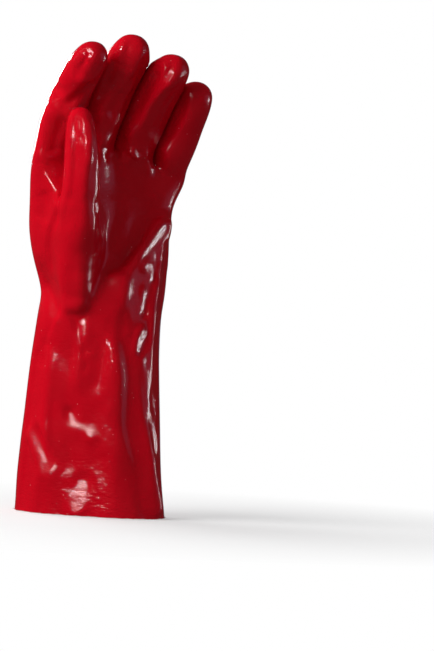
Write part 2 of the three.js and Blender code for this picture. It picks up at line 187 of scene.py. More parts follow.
# %% [markdown]
# ## The folds
# A dipped glove keeps the creases of its drying and packing. On the real one they are soft ridges
# and valleys, each with a sharper crest, and they gather at the wrist and the finger roots. A cloth
# simulation would give folds, but not these ones, so they are worked in as a sculptor would: each
# fold is a line drawn on the palm or the back, and the skin near it moves out or in.
#
# A row holds the fold's name, the side that it is drawn on, its crest, reach and height, and the
# corners of its line. The crest is how round its top is, the reach how far its flanks run and the
# height how far it stands, all in mm, and a valley's height is below nought. A corner is how far
# across the side it lies and how high, in mm: across is x on the palm and the back, and y on the
# side of the thumb.

# %% Draw the folds of the hand
PALM = Vector((0, -1, 0))
BACK = Vector((0, 1, 0))
THUMB_SIDE = Vector((-1, 0, 0))

HAND_FOLDS = [
    ("thumb edge", PALM, 1.2, 4, 1.2, [(-18, 269), (-16, 259), (-15, 248), (-13, 234), (-12, 221)]),
    ("thumb line", PALM, 0.7, 2.6, 1.7,
     [(-24, 278), (-22, 273), (-20, 264), (-20, 252), (-20, 240)]),
    ("palm crease lip", PALM, 1.0, 3, 0.7,
     [(-14, 221), (-13, 211), (-10, 194), (-9, 180), (-11, 167)]),
    ("palm crease", PALM, 2.5, 7, -1.8, [(-8, 210), (-5, 193), (-5, 178), (-7, 164), (-11, 152)]),
    ("thenar edge", PALM, 3, 9, 2.2, [(-16, 220), (-17, 199), (-19, 182), (-20, 164), (-21, 150)]),
    ("thenar crest", PALM, 4, 10, 1.8,
     [(-23, 211), (-28, 197), (-33, 181), (-34, 160), (-32, 141), (-31, 125)]),
    ("thenar hollow", PALM, 4, 6, -1.4, [(-26, 176), (-26, 160), (-26, 147)]),
    ("thenar foot", PALM, 6, 11, 2.2, [(-39, 137), (-32, 134), (-25, 136)]),
    ("thenar foot valley", PALM, 1.0, 4, -1.2, [(-14, 153), (-17, 144), (-22, 134)]),
    ("web ridge", PALM, 1.0, 4, 2.0,
     [(-53, 239), (-47, 232), (-42, 224), (-42, 215), (-46, 205), (-48, 194), (-49, 182)]),
    ("web hollow", PALM, 4, 6, -1.8, [(-53, 227), (-50, 215), (-52, 201)]),
    ("web hollow right", PALM, 2, 5, -2.6,
     [(-39, 219), (-43, 205), (-46, 192), (-45, 178), (-42, 165)]),
    ("wrist fold left", PALM, 1.0, 4, -2.6, [(-50, 166), (-46, 157), (-41, 148), (-34, 136)]),
    ("wrist fold lip", PALM, 2.0, 5, 0.6, [(-51, 159), (-47, 148), (-41, 138), (-37, 127)]),
    ("heel ridge", PALM, 2.0, 7, 3.6,
     [(37, 213), (34, 206), (28, 197), (22, 190), (17, 185), (12, 176)]),
    ("heel ridge foot", PALM, 1.0, 6, 1.0, [(17, 185), (12, 176), (8, 165), (4, 154)]),
    ("heel inner hollow", PALM, 6, 9, -1.4, [(20, 200), (13, 190), (7, 180), (2, 168)]),
    ("right crease", PALM, 0.9, 4, 1.2, [(29, 198), (30, 184), (29, 163), (26, 149), (26, 132)]),
    ("heel hook", PALM, 1.5, 4, 1.4, [(17, 176), (22, 178), (25, 175), (27, 168)]),
    ("palm facet", PALM, 3, 12, 1.4, [(2, 229), (6, 208), (7, 190)]),
]

# %% Draw the folds of the cuff
CUFF_FOLDS = [
    ("cuff top ridge", PALM, 2, 5, 1.2, [(13, 139), (17, 131), (21, 121), (23, 109)]),
    ("front edge", PALM, 1.0, 6, 0.8,
     [(-7, 143), (-3, 125), (4, 112), (8, 95), (9, 77), (10, 59), (17, 43), (24, 24), (28, 8)]),
    ("right edge", PALM, 1.0, 4, 0.8, [(14, 110), (20, 97), (24, 76), (28, 60), (33, 36), (36, 9)]),
    ("left dent", PALM, 1.0, 3, -1.0, [(-56, 57), (-53, 48), (-46, 37), (-40, 28)]),
    ("left crest", PALM, 2, 8, 1.6, [(-35, 118), (-37, 99), (-40, 76), (-41, 51), (-41, 31)]),
    ("left top fold", PALM, 1.5, 4, -1.6, [(-45, 124), (-46, 114), (-46, 101)]),
    ("front dip", PALM, 6, 8, -1.0, [(-34, 78), (-21, 78), (-10, 74), (0, 69)]),
    ("front dip low", PALM, 6, 8, -1.2, [(-31, 37), (-12, 37), (3, 42)]),
]

# %% Draw the folds of the fingers
FINGER_FOLDS = [
    ("index notch", THUMB_SIDE, 2, 4, -2.4, [(-30, 299), (-28, 296), (-26, 293)]),
    ("index knuckle", THUMB_SIDE, 3, 5, 1.4, [(-24, 290), (-23, 287), (-22, 284)]),
    ("index left side", PALM, 2, 6, 1.8,
     [(-47, 289), (-51, 279), (-54, 267), (-56, 253), (-55, 242)]),
    ("index hollow", PALM, 4, 7, -3.6, [(-37, 277), (-42, 269), (-45, 258), (-45, 247)]),
    ("index crease", PALM, 1.5, 4, -3.2, [(-40, 285), (-32, 290), (-24, 296), (-18, 303)]),
    ("index crease lip", PALM, 1.2, 4, 2.0, [(-43, 288), (-35, 293), (-26, 301), (-17, 306)]),
    ("index pad dimple", PALM, 3, 3, -1.2, [(-29, 314), (-26, 312)]),
    ("index pad", PALM, 3, 4, 1.4, [(-35, 311), (-31, 317), (-25, 322)]),
    ("index pad shadow", PALM, 2.5, 4, -1.0, [(-35, 305), (-28, 305), (-21, 307)]),
    ("middle valley", PALM, 3, 5, -2.4, [(-4, 319), (-9, 309), (-13, 298)]),
    ("middle left edge", PALM, 1.5, 5, 2.0,
     [(6, 307), (-2, 301), (-8, 294), (-13, 283), (-14, 271)]),
    ("middle right edge", PALM, 1.5, 4, 1.5, [(10, 308), (5, 299), (0, 288), (-4, 278), (-9, 266)]),
    ("middle flat", PALM, 4, 5, -1.8, [(1, 299), (-5, 289), (-9, 278)]),
    ("ring valley", PALM, 2.5, 6, -3.6, [(27, 318), (22, 308), (14, 296), (7, 283), (1, 271)]),
    ("ring ridge", PALM, 0.9, 5, 4.0,
     [(36, 317), (34, 308), (26, 298), (19, 289), (14, 277), (9, 270), (6, 263), (6, 257)]),
    ("ring side", PALM, 4, 7, -2.0, [(38, 301), (31, 289), (25, 276), (20, 265)]),
    ("ring root hook", PALM, 1.2, 3, 2.0, [(6, 258), (9, 254), (12, 257)]),
    ("little ridge", PALM, 2, 5, 2.4,
     [(49, 300), (47, 290), (45, 281), (39, 270), (33, 261), (33, 254), (28, 247)]),
    ("little valley", PALM, 3, 6, -2.8, [(43, 299), (39, 284), (33, 270), (26, 259)]),
    ("root one", PALM, 1.2, 3, 2.0, [(-13, 268), (-13, 259), (-13, 250)]),
    ("root two", PALM, 1.2, 4, 2.0, [(-3, 265), (0, 255), (4, 244)]),
    ("root three", PALM, 1.1, 3, 2.2, [(17, 258), (19, 248), (24, 241)]),
    ("root hollow", PALM, 3, 4, -1.6, [(-8, 256), (-6, 248)]),
]

# %% Draw the folds of the back
BACK_FOLDS = [
    ("web fold", BACK, 6, 11, 1.4, [(-47, 238), (-37, 221), (-25, 204), (-14, 186)]),
    ("web fold hollow", BACK, 6, 9, -1.3, [(-28, 226), (-16, 210), (-4, 194)]),
    ("back hollow", BACK, 8, 10, -1.3, [(-34, 196), (-28, 176), (-26, 158)]),
    ("back crest", BACK, 6, 10, 0.8, [(2, 196), (-4, 176), (-6, 156)]),
    ("wrist ridge", BACK, 3, 8, 1.8,
     [(32, 190), (22, 176), (12, 162), (10, 146), (16, 124), (22, 102)]),
    ("wrist valley", BACK, 4, 7, -1.6, [(32, 172), (26, 156), (26, 138), (32, 116)]),
    ("wrist dent", BACK, 5, 8, -1.2, [(-2, 168), (-4, 150), (3, 132)]),
    ("thumb side valley", BACK, 3, 7, -1.7, [(-40, 172), (-38, 150), (-38, 128), (-42, 108)]),
    ("cuff side swell", BACK, 5, 9, 0.9, [(-30, 120), (-32, 96), (-36, 70)]),
    ("cuff far swell", BACK, 4, 8, 1.0, [(26, 104), (28, 76), (30, 48), (34, 14)]),
    ("hem hollow", BACK, 5, 8, -0.9, [(8, 20), (-12, 16), (-30, 18)]),
    ("root valley one", BACK, 3, 6, -1.2, [(-39, 251), (-37, 238), (-33, 224)]),
    ("root valley two", BACK, 3, 6, -1.2, [(-12, 253), (-11, 240), (-8, 226)]),
    ("root valley three", BACK, 3, 6, -1.2, [(17, 246), (17, 233), (18, 220)]),
    ("knuckle one", BACK, 8, 8, 0.7, [(-50, 238), (-46, 228)]),
    ("knuckle two", BACK, 8, 8, 0.7, [(-25, 243), (-22, 232)]),
    ("knuckle three", BACK, 8, 8, 0.7, [(3, 242), (5, 230)]),
    ("knuckle four", BACK, 8, 8, 0.7, [(31, 233), (32, 222)]),
]
FOLDS = HAND_FOLDS + CUFF_FOLDS + FINGER_FOLDS + BACK_FOLDS
print("folds:", len(FOLDS))


# %% [markdown]
# ## The flats
# Between its folds the coat isn't round but lies in broad, nearly flat bands, because the liner is
# stiff and was packed flat. Gloss shows this at once: a round finger has a thin highlight, and a
# flat one a broad patch. Each band is pressed flat along a drawn line, as with a warm iron.
#
# A row holds the name, the side, half the band's width and how deep it is pressed in mm, the share
# of the way that the skin goes to the flat, the azimuth and the elevation that the flat faces in
# degrees, and its line's corners as a fold has them. Azimuth nought faces the camera and 90 the
# right of the picture. Without an elevation the flat keeps the lean that the skin has there.

# %% Mark the flats of the cuff
CUFF_FLATS = [
    ("cuff front", PALM, 30, 3.2, 0.7, -15, None, [(-15, 107), (-15, 81), (-14, 46), (-13, 3)]),
    ("cuff left", PALM, 13, 0.8, 0.6, -60, None, [(-47, 107), (-49, 79), (-51, 44), (-53, 5)]),
    ("cuff right front", PALM, 12, -2.6, 0.85, 15, None,
     [(14, 121), (19, 96), (22, 69), (27, 41), (34, 8)]),
    ("cuff right", PALM, 6, -0.3, 0.8, 36, None, [(22, 121), (26, 93), (30, 72), (35, 48)]),
    ("wrist front", PALM, 14, 0.0, 0.8, 4, None,
     [(1, 161), (-4, 148), (-8, 134), (-11, 119), (-14, 96)]),
    ("foot calm", PALM, 9, 0.0, 0.6, -24, 1, [(-25, 138), (-22, 131), (-21, 124)]),
]

# %% Mark the flats of the hand
HAND_FLATS = [
    ("heel facet", PALM, 15, 1.4, 0.8, 43, None,
     [(30, 197), (26, 184), (22, 170), (20, 152), (20, 133)]),
    ("heel side", PALM, 7, 0.4, 0.7, 78, None,
     [(34, 190), (33, 167), (31, 145), (30, 121), (32, 93)]),
    ("palm", PALM, 20, 1.2, 0.7, 28, None, [(12, 229), (10, 212), (6, 194)]),
    ("palm low", PALM, 9, 0.4, 0.7, 43, None, [(7, 204), (5, 192), (1, 181)]),
    ("thenar flank", PALM, 7, 0.4, 0.7, 50, None, [(-13, 216), (-12, 196), (-13, 177), (-14, 159)]),
    ("thenar front", PALM, 12, 0.8, 0.6, -30, None,
     [(-28, 215), (-30, 191), (-30, 171), (-27, 150)]),
    ("thumb front", PALM, 9, 0.5, 0.6, -38, None, [(-27, 270), (-26, 253), (-26, 226)]),
]

# %% Mark the flats of the fingers
FINGER_FLATS = [
    ("index tip", PALM, 8, 0.6, 0.6, -22, 0, [(-26, 321), (-28, 312), (-31, 304)]),
    ("middle tip", PALM, 9, 0.8, 0.7, -6, 3, [(6, 329), (5, 321), (4, 311)]),
    ("middle lower", PALM, 5, 0.5, 0.8, 42, None, [(2, 299), (-3, 289), (-8, 278)]),
    ("ring tip", PALM, 7, 0.6, 0.7, -4, 3, [(36, 319), (35, 312), (33, 306)]),
    ("ring left", PALM, 5, 0.3, 0.6, 14, None, [(20, 307), (14, 296), (8, 285)]),
]

# %% Mark the flats of the back
BACK_FLATS = [
    ("cuff back", BACK, 28, 2.0, 0.5, 172, None, [(-6, 138), (-8, 100), (-10, 60), (-12, 6)]),
    ("cuff back thumb side", BACK, 14, 0.8, 0.6, 215, None,
     [(-40, 130), (-43, 90), (-47, 50), (-50, 8)]),
    ("hand back", BACK, 26, 1.6, 0.5, 200, None, [(-8, 232), (-6, 205), (-4, 178)]),
    ("index back", BACK, 9, 0.6, 0.6, 200, None, [(-30, 322), (-38, 300), (-45, 274)]),
    ("middle back", BACK, 9, 0.6, 0.6, 196, None, [(2, 330), (-6, 306), (-16, 276)]),
    ("ring back", BACK, 9, 0.6, 0.6, 190, None, [(32, 318), (22, 296), (10, 268)]),
    ("little back", BACK, 8, 0.6, 0.6, 176, None, [(54, 296), (45, 276), (37, 254)]),
]
FLATS = CUFF_FLATS + HAND_FLATS + FINGER_FLATS + BACK_FLATS
print("flats:", len(FLATS))


# %% [markdown]
# ## The small facets that shine
# A highlight on a wet coat is a place whose face points halfway between the camera and a light. The
# bright marks in the photograph so say which way the skin faces there. Painted marks would stay put
# when the glove turns, so each is a small facet that is pressed to face the window or the strip of
# light, and shines of itself. The rows are those of the flats.

# %% Mark the facets that face the window
TO_WINDOW = (-14, 11)  # azimuth and elevation

WINDOW_FACETS = [
    ("left dent facet", PALM, 8, 0.8, 0.92, -16, 12, [(-51, 54), (-46, 44), (-39, 33)]),
    ("front streak", PALM, 6, 0.2, 0.9, *TO_WINDOW, [(-25, 71), (-20, 64), (-15, 62), (-10, 56)]),
    ("hem streak", PALM, 9, 0.2, 0.95, *TO_WINDOW, [(-14, 23), (-17, 14), (-18, 7)]),
    ("high swell", PALM, 3.5, 0.1, 0.8, *TO_WINDOW, [(-17, 114), (-13, 114)]),
    ("second swell", PALM, 3, 0.1, 0.7, *TO_WINDOW, [(-16, 102), (-14, 101)]),
    ("right swell", PALM, 3, 0.1, 0.9, *TO_WINDOW, [(-3, 41), (0, 39)]),
    ("thumb glint", PALM, 2.5, 0.1, 0.7, *TO_WINDOW, [(-28, 272), (-28, 269)]),
    ("thumb second glint", PALM, 2.5, 0.1, 0.8, *TO_WINDOW, [(-26, 261), (-25, 257)]),
]

# %% Mark the facets that face the strip
TO_STRIP = (52, -3)

STRIP_FACETS = [
    ("heel diagonal", PALM, 7, 0.2, 0.95, *TO_STRIP, [(33, 204), (28, 196), (23, 190), (19, 185)]),
    ("heel hook facet", PALM, 4, 0.1, 0.9, *TO_STRIP, [(21, 175), (26, 172), (27, 167)]),
    ("heel spur facet", PALM, 3.5, 0.1, 0.95, *TO_STRIP, [(21, 159), (22, 151), (22, 143)]),
    ("heel spot", PALM, 6, 0.2, 0.9, *TO_STRIP, [(22, 130), (21, 124), (22, 118)]),
    ("heel spot foot", PALM, 2, 0.1, 0.9, *TO_STRIP, [(24, 116), (26, 107)]),
    ("thenar glint", PALM, 3, 0.1, 0.9, *TO_STRIP, [(-11, 190), (-10, 184)]),
    ("root glint one", PALM, 4, 0.1, 0.95, *TO_STRIP, [(-12, 255), (-11, 249)]),
    ("root glint two", PALM, 4, 0.1, 0.95, *TO_STRIP, [(10, 256), (12, 254)]),
    ("root glint four", PALM, 4, 0.1, 0.95, *TO_STRIP, [(21, 246), (24, 242)]),
]


# %% [markdown]
# ## Lines laid on the skin
# A line is drawn flat, as on the photograph, and has to come to lie on the rounded skin. A ray is
# shot at the glove from its side through each corner, and a smooth curve is put through the places
# that the rays hit. Then it is enough to know how far each point of the skin is from that curve.
# The points are read and written all at once with numpy, which is much faster than one at a time.

# %% Read the skin
def points_of(mesh):
    flat = np.empty(len(mesh.vertices) * 3)
    mesh.vertices.foreach_get("co", flat)
    return flat.reshape(-1, 3)


def normals_of(mesh):
    flat = np.empty(len(mesh.vertices) * 3)
    mesh.vertex_normals.foreach_get("vector", flat)
    return flat.reshape(-1, 3)


# %% Lay a line on the skin
WELL_OUTSIDE = 0.2
LINE_STEP = 1.5 * MM


def on_skin(piece, side, across, z):
    """The point of the skin that is seen from that side, so far across and so high, or None."""
    place = Vector((0, across, z)) if side.x else Vector((across, 0, z))
    hit, where, _, _ = piece.ray_cast(place * MM + side * WELL_OUTSIDE, -side)
    return np.array(where) if hit else None


def smooth_line(corners):
    """A Catmull-Rom curve through the corners, as many short pieces."""
    points = [2 * corners[0] - corners[1], *corners, 2 * corners[-1] - corners[-2]]
    line = []
    for a, b, c, d in zip(points, points[1:], points[2:], points[3:]):
        count = max(2, int(np.linalg.norm(c - b) / LINE_STEP))
        for i in range(count):
            t = i / count
            line.append(0.5 * (2 * b + (c - a) * t + (2 * a - 5 * b + 4 * c - d) * t**2
                               + (3 * b - a - 3 * c + d) * t**3))
    return np.array([*line, corners[-1]])


def distance_to(line, points):
    """Each point's distance from the line and how far along the line it lies, from 0 to 1."""
    best = np.full(len(points), np.inf)
    share = np.zeros(len(points))
    for i, (start, end) in enumerate(zip(line, line[1:])):
        along = end - start
        t = np.clip((points - start) @ along / (along @ along), 0, 1)
        away = np.linalg.norm(points - start - t[:, None] * along, axis=1)
        nearer = away < best
        best[nearer] = away[nearer]
        share[nearer] = (i + t[nearer]) / (len(line) - 1)
    return best, share


def eased(share):
    """A share from 0 to 1 that starts and ends gently."""
    return share * share * (3 - 2 * share)


# %% [markdown]
# ## Moves of the skin
# Each move goes along the normal of its point, out or in, because points that are pushed sideways
# soon cross each other. A fold is highest at its crest and dies away over its reach and towards
# both ends. A flat moves each point by what it lies short of the flat. Both leave the skin that
# faces away from the drawn side alone, or else a fold on the palm would mark the back.

# %% Work out a fold's moves
FOLD_ENDS = 0.22  # the share of the line over which a fold dies away at each end
END_HEIGHT = 0.25  # what is left of its height there
NIL_AFTER = 8  # reaches from the crest


def fold_moves(piece, folds):
    """How far each point of the skin moves along its normal for these folds, in metres."""
    points, normals = points_of(piece.data), normals_of(piece.data)
    moves = np.zeros(len(points))
    for name, side, crest, reach, height, drawn in folds:
        corners = [on_skin(piece, side, across, z) for across, z in drawn]
        corners = [corner for corner in corners if corner is not None]
        if len(corners) < 2:
            print("off the skin:", name)
            continue
        line = smooth_line(corners)
        near = np.flatnonzero(np.linalg.norm(points - line.mean(axis=0), axis=1)
                              < np.ptp(line, axis=0).max() + NIL_AFTER * reach * MM)
        away, share = distance_to(line, points[near])
        rounded = np.sqrt(away**2 + (crest * MM) ** 2) - crest * MM
        from_end = np.clip(np.minimum(share, 1 - share) / FOLD_ENDS, 0, 1)
        facing = np.clip(2 * normals[near] @ np.array(side), 0, 1)
        moves[near] += (height * MM * np.exp(-rounded / (reach * MM)) * facing
                        * (END_HEIGHT + (1 - END_HEIGHT) * eased(from_end)))
    return moves


# %% Work out a flat's moves
LINE_LEVELLED = 0.7  # how far the band's own line is brought to the flat
LONGEST_MOVE = 5 * MM
LEAST_FACING = 0.5


def way_it_faces(azimuth, elevation):
    """The direction with this azimuth and elevation in degrees."""
    turn, lift = math.radians(azimuth), math.radians(elevation)
    return np.array((math.sin(turn) * math.cos(lift), -math.cos(turn) * math.cos(lift),
                     math.sin(lift)))


def flat_moves(piece, flat, exact=False):
    """How far each point moves along its normal so that a band beside the drawn line goes flat.

    An exact one allows for normals that still lean away from the band.
    """
    _, side, half, depth, pressed, azimuth, elevation, drawn = flat
    points, normals = points_of(piece.data), normals_of(piece.data)
    corners = np.array([on_skin(piece, side, across, z) for across, z in drawn])
    faces = way_it_faces(azimuth, elevation or 0)
    if elevation is None:
        chord = corners[-1] - corners[0]
        along = (corners - corners[0]) @ chord / (chord @ chord)
        level = corners[0] + along[:, None] * chord
    else:
        level = corners.mean(axis=0)
    off_level = (level - corners) @ faces
    line = smooth_line(corners + LINE_LEVELLED * off_level[:, None] * faces)
    away, _ = distance_to(line, points)
    nearest = line[np.argmin(np.linalg.norm(points[:, None] - line[None], axis=2), axis=1)]
    short = ((nearest - points) @ faces) - depth * MM
    inside = np.clip(2 * (1 - away / (half * MM)), 0, 1)
    facing = np.clip(3 * normals @ faces - 1, 0, 1)
    if exact:
        short = short / np.clip(normals @ faces, LEAST_FACING, 1)
    return np.clip(short * pressed * facing * eased(inside), -LONGEST_MOVE, LONGEST_MOVE)


# %% Move the skin
def move_skin(piece, moves):
    """Moves the skin along its normals. Its border, the cut edge, stays level."""
    points, normals = points_of(piece.data), normals_of(piece.data)
    normals[points[:, 2] < CUT_EDGE, 2] = 0
    points += normals * moves[:, None]
    piece.data.vertices.foreach_set("co", points.ravel())
    piece.data.update()


def neighbour_mean(mesh, values, rounds):
    """Spreads values over the mesh by taking the mean of each point and its neighbours."""
    ends = np.empty(len(mesh.edges) * 2, dtype=int)
    mesh.edges.foreach_get("vertices", ends)
    a, b = ends.reshape(-1, 2).T
    size = len(values)
    count = np.bincount(a, minlength=size) + np.bincount(b, minlength=size) + 1
    for _ in range(rounds):
        values = values + np.bincount(a, values[b], size) + np.bincount(b, values[a], size)
        values = values / count
    return values


# %% [markdown]
# ## The fingers closed up
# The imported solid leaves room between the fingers, because its walls may not touch there. On the
# real glove they lie side by side, with a dark line between them. So each finger's side swells
# until half of the gap is gone. Moving whole fingers would narrow the gaps too, but shift the
# finger tips away from where the photograph has them.

# %% Close the fingers up
FINGERS_FROM = 225 * MM
REACHED = 9 * MM  # a wider gap stays
CLOSED = 5 * MM  # a narrower one closes wholly
LEFT_OPEN = 0.5 * MM
OFF_THE_SKIN = 0.1 * MM
FACES_BACK = -0.3
GAP_SPREAD = 8


def snug_moves(piece):
    """Half of each narrow gap between two fingers, as a move along the normal."""
    points, normals = points_of(piece.data), normals_of(piece.data)
    moves = np.zeros(len(points))
    for i in np.flatnonzero(points[:, 2] > FINGERS_FROM):
        start, way = Vector(points[i]), Vector(normals[i])
        hit, where, normal, _ = piece.ray_cast(start + way * OFF_THE_SKIN, way, distance=REACHED)
        if hit and normal.dot(way) < FACES_BACK:
            gap = (where - start).length
            near = min(1, (REACHED - gap) / (REACHED - CLOSED))
            moves[i] = (gap - LEFT_OPEN) / 2 * eased(near)
    return neighbour_mean(piece.data, moves, GAP_SPREAD)


moves = snug_moves(glove)
move_skin(glove, moves)
print("fingers close by up to", round(moves.max() / MM, 1), "mm")


# %% [markdown]
# ## Flats first, then folds
# The order is a sculptor's: the big forms before the small ones. The flats are pressed one after
# another, each on the skin that the last one left, so where two meet the later one wins. The folds
# all start from the same skin and are added up, so that they cross as real creases do.

# %% Press the flats
FLAT_SPREAD = 2
for flat in FLATS:
    moves = flat_moves(glove, flat)
    move_skin(glove, neighbour_mean(glove.data, moves, FLAT_SPREAD))
    print(flat[0], "moves the skin by", round(moves.min() / MM, 1), "to",
          round(moves.max() / MM, 1), "mm")

# %% Work the folds in
moves = fold_moves(glove, FOLDS)
move_skin(glove, moves)
print("folds move the skin by", round(moves.min() / MM, 1), "to", round(moves.max() / MM, 1), "mm")


# %% [markdown]
# ## The facets pressed
# The facets come last, because a fold worked in later would turn them away from the light. One
# press falls short where the normals still lean, so each facet is pressed twice.

# %% Press the small facets that shine
FACET_SPREAD = 1
PRESSES = 2
for facet in WINDOW_FACETS + STRIP_FACETS:
    for _ in range(PRESSES):
        moves = flat_moves(glove, facet, exact=True)
        move_skin(glove, neighbour_mean(glove.data, moves, FACET_SPREAD))
print("facets:", len(WINDOW_FACETS + STRIP_FACETS))


# %% [markdown]
# ## The wall
# Solidify gives the skin its thickness inwards, so the outer face stays where it is, and it closes
# the cut edge. The inner face takes the second material and the cut edge the third, so the glove
# gets three empty slots first: without them every face would keep the coat.

# %% Give the skin its wall
WALL = 1.35 * MM
SMOOTH_UNDER = math.radians(50)
COAT_SLOT, LINING_SLOT, EDGE_SLOT = 0, 1, 2
for _ in (COAT_SLOT, LINING_SLOT, EDGE_SLOT):
    glove.data.materials.append(None)
use_modifier(glove, "SOLIDIFY", thickness=WALL, offset=-1, use_even_offset=False, use_rim=True,
             material_offset=LINING_SLOT, material_offset_rim=EDGE_SLOT)
take(glove)
bpy.ops.object.shade_smooth_by_angle(angle=SMOOTH_UNDER)
print("glove:", len(glove.data.polygons), "faces")


# %% [markdown]
# ## The cut edge
# The cuff is cut with shears through coat and knit, so its edge is a little ragged and stands on
# its lowest places. Noise lifts the points of the edge by up to half a millimetre: a fine one for
# the stitches and a slower one for the shears. It is real shape and not a bump, because it shows
# against the ground.

# %% Roughen the cut
CUT_DEPTH = 0.5 * MM
STITCHES, SHEARS = 260, 90  # how close the two noises are
points = points_of(glove.data)
for i in np.flatnonzero(points[:, 2] < CUT_EDGE):
    place = Vector(points[i])
    rough = 0.5 + 0.5 * noise_at(place * STITCHES) + 0.3 * noise_at(place * SHEARS)
    points[i, 2] = CUT_DEPTH * min(1, max(0, rough))
glove.data.vertices.foreach_set("co", points.ravel())
glove.data.update()
print("cut edge:", np.count_nonzero(points[:, 2] < CUT_DEPTH), "points")


# %% [markdown]
# ## Cut fibres
# Where the cuff is cut, ends of the liner's yarn stand out of the edge. Hair is no mesh, and every
# shape that shows here is one, so the fibres are meshes too. One short thread is drawn out of a
# small square, bent and tapered, and then copied around the edge at chance lengths and leans.

# %% Draw out one fibre
FIBRE_RADIUS = 0.11 * MM
FIBRE_STEPS = [(0.05, 0.5), (0.15, 0.45), (0.3, 0.35)]  # across and along, in mm
TAPER = 0.75
bpy.ops.object.select_all(action="DESELECT")
bpy.ops.mesh.primitive_circle_add(vertices=4, radius=FIBRE_RADIUS, fill_type="NGON",
                                  location=(0, 0, 0))
fibre = bpy.context.object
bpy.ops.object.mode_set(mode="EDIT")
for across, along in FIBRE_STEPS:
    bpy.ops.mesh.extrude_region_move(
        TRANSFORM_OT_translate={"value": (across * MM, 0, along * MM)})
    bpy.ops.transform.resize(value=(TAPER, TAPER, TAPER))
bpy.ops.mesh.select_all(action="SELECT")
bpy.ops.mesh.normals_make_consistent(inside=False)
leave_edit()
print("one fibre:", len(fibre.data.polygons), "faces")

# %% Set the fibres round the cut
FIBRES = 90
chance = random.Random(7)
rim = [Vector(p) for p in points[points[:, 2] < CUT_DEPTH]]
middle = sum(rim, Vector()) / len(rim)
threads = [fibre]
for _ in range(FIBRES):
    root = chance.choice(rim)
    way = (root - middle).normalized()
    way += Vector((chance.uniform(-0.9, 0.9), chance.uniform(-0.9, 0.9), chance.uniform(0.1, 0.5)))
    thread = fibre.copy()
    thread.data = fibre.data.copy()
    bpy.context.scene.collection.objects.link(thread)
    thread.location = (root.x, root.y, CUT_DEPTH)
    thread.rotation_euler = way.to_track_quat("Z", "Y").to_euler()
    thread.scale = (1, 1, chance.uniform(0.6, 1.6))
    threads.append(thread)
fibre.location = (rim[0].x, rim[0].y, CUT_DEPTH)

# %% Join the fibres
take(fibre)
for thread in threads:
    thread.select_set(True)
bpy.ops.object.join()
fibres = bpy.context.object
fibres.name = "cut_fibres"
bpy.ops.object.transform_apply(location=True, rotation=True, scale=True)
print("fibres:", len(threads), "with", len(fibres.data.polygons), "faces")


# %% [markdown]
# ## Helpers for finishes
# Every finish is mixed from the same few things: a noise, a ramp that turns it into colours or
# values, a product of two masks and a bump. All of them read Object coordinates, so a pattern keeps
# its real size and stays on the glove.

# %% Helpers for materials
def new_material(name):
    material = bpy.data.materials.new(name)
    material.use_nodes = True
    nodes = material.node_tree.nodes
    return material, nodes, material.node_tree.links, nodes["Principled BSDF"]


def on_object(nodes):
    return nodes.new("ShaderNodeTexCoord").outputs["Object"]


def noise(nodes, links, source, scale, detail=2.0, roughness=0.5):
    node = nodes.new("ShaderNodeTexNoise")
    node.inputs["Scale"].default_value = scale
    node.inputs["Detail"].default_value = detail
    node.inputs["Roughness"].default_value = roughness
    links.new(source, node.inputs["Vector"])
    return node.outputs["Fac"]


def ramp(nodes, links, source, stops):
    """Turns a value into a colour, or into a grey that is a value again."""
    node = nodes.new("ShaderNodeValToRGB")
    band = node.color_ramp
    while len(band.elements) < len(stops):
        band.elements.new(0.5)
    for element, (place, colour) in zip(band.elements, stops):
        element.position = place
        element.color = (*colour, 1) if isinstance(colour, tuple) else (colour, colour, colour, 1)
    links.new(source, node.inputs["Fac"])
    return node.outputs["Color"]


def product(nodes, links, one, other):
    node = nodes.new("ShaderNodeMath")
    node.operation = "MULTIPLY"
    links.new(one, node.inputs[0])
    links.new(other, node.inputs[1])
    return node.outputs["Value"]


def bump(nodes, links, height, strength, distance, normal=None):
    node = nodes.new("ShaderNodeBump")
    node.inputs["Strength"].default_value = strength
    node.inputs["Distance"].default_value = distance
    links.new(height, node.inputs["Height"])
    if normal:
        links.new(normal, node.inputs["Normal"])
    return node.outputs["Normal"]


# %% [markdown]
# ## The coat's finish
# PVC is a clear-topped, saturated red with a wet gloss. Its red is nearly pure, so it stays red in
# the shade, and wanders only a little. A few pale specks, no larger than a grain of salt, lie in
# the coat. The knit under it shows as a very fine grain in the highlights, drawn out along the arm
# as the stitches are, and a slower waviness comes from the dipping, so reflections wander. Near the
# cut the coat is thinner and the knit shows more.

# %% Colour the coat
DEEP_RED = (0.52, 0.001, 0.009)
BRIGHT_RED = (0.59, 0.0015, 0.011)

coat, nodes, links, shader = new_material("pvc_coat")
place = on_object(nodes)
tone = ramp(nodes, links, noise(nodes, links, place, scale=22, detail=3),
            [(0.3, DEEP_RED), (0.7, BRIGHT_RED)])

# %% Speckle it
SPECK = (0.85, 0.25, 0.28, 1)
MIX_FACTOR, MIX_FIRST, MIX_SECOND, MIX_RESULT = 0, 6, 7, 2  # sockets of a colour mix

cells = nodes.new("ShaderNodeTexVoronoi")
cells.inputs["Scale"].default_value = 170
links.new(place, cells.inputs["Vector"])
dots = ramp(nodes, links, cells.outputs["Distance"], [(0.04, 1.0), (0.08, 0.0)])
few = ramp(nodes, links, cells.outputs["Color"], [(0.55, 0.0), (0.6, 0.55)])
specks = nodes.new("ShaderNodeMix")
specks.data_type = "RGBA"
specks.inputs[MIX_SECOND].default_value = SPECK
links.new(product(nodes, links, dots, few), specks.inputs[MIX_FACTOR])
links.new(tone, specks.inputs[MIX_FIRST])
links.new(specks.outputs[MIX_RESULT], shader.inputs["Base Color"])

